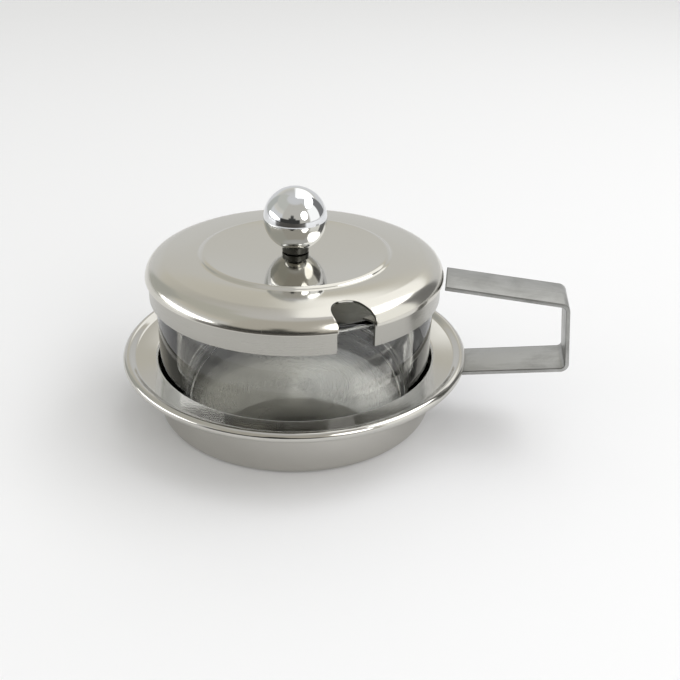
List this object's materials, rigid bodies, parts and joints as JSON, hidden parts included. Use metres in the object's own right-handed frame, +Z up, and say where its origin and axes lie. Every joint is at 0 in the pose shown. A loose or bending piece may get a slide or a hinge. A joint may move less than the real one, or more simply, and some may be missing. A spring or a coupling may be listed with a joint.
{
  "type": "parmesan dish",
  "caption": "Round steel tray with a bent strip handle, a thick glass bowl standing in it, and a lift-off steel lid with a spoon notch and a ball knob.",
  "frame": {"origin": "centre of the tray's flat base, on the common axis of tray, bowl and lid", "axes": "+Z up along the common axis, +X along the handle, away from the dish"},
  "size_m": [0.181, 0.1412, 0.0934],
  "materials": {
    "satin_steel": "satin, turned in fine circles",
    "strip_steel": "matte satin",
    "polished_steel": "polished",
    "chrome": "mirror",
    "zinc_steel": "plain",
    "clear_glass": "clear, smooth"
  },
  "bodies": {
    "tray": {"tray_dish": "satin_steel", "handle_strip": "strip_steel"},
    "bowl": {"glass_bowl": "clear_glass"},
    "lid": {"lid_shell": "polished_steel", "lid_skirt_ring": "satin_steel", "ball_knob": "chrome", "knob_washer": "zinc_steel", "knob_screw": "zinc_steel"}
  },
  "joints": [
    {"name": "bowl_lift", "type": "slide", "parent": "tray", "child": "bowl", "axis": [0, 0, 1], "range_m": [0, 0.065]},
    {"name": "lid_lift", "type": "slide", "parent": "bowl", "child": "lid", "axis": [0, 0, 1], "range_m": [0, 0.06]}
  ]
}
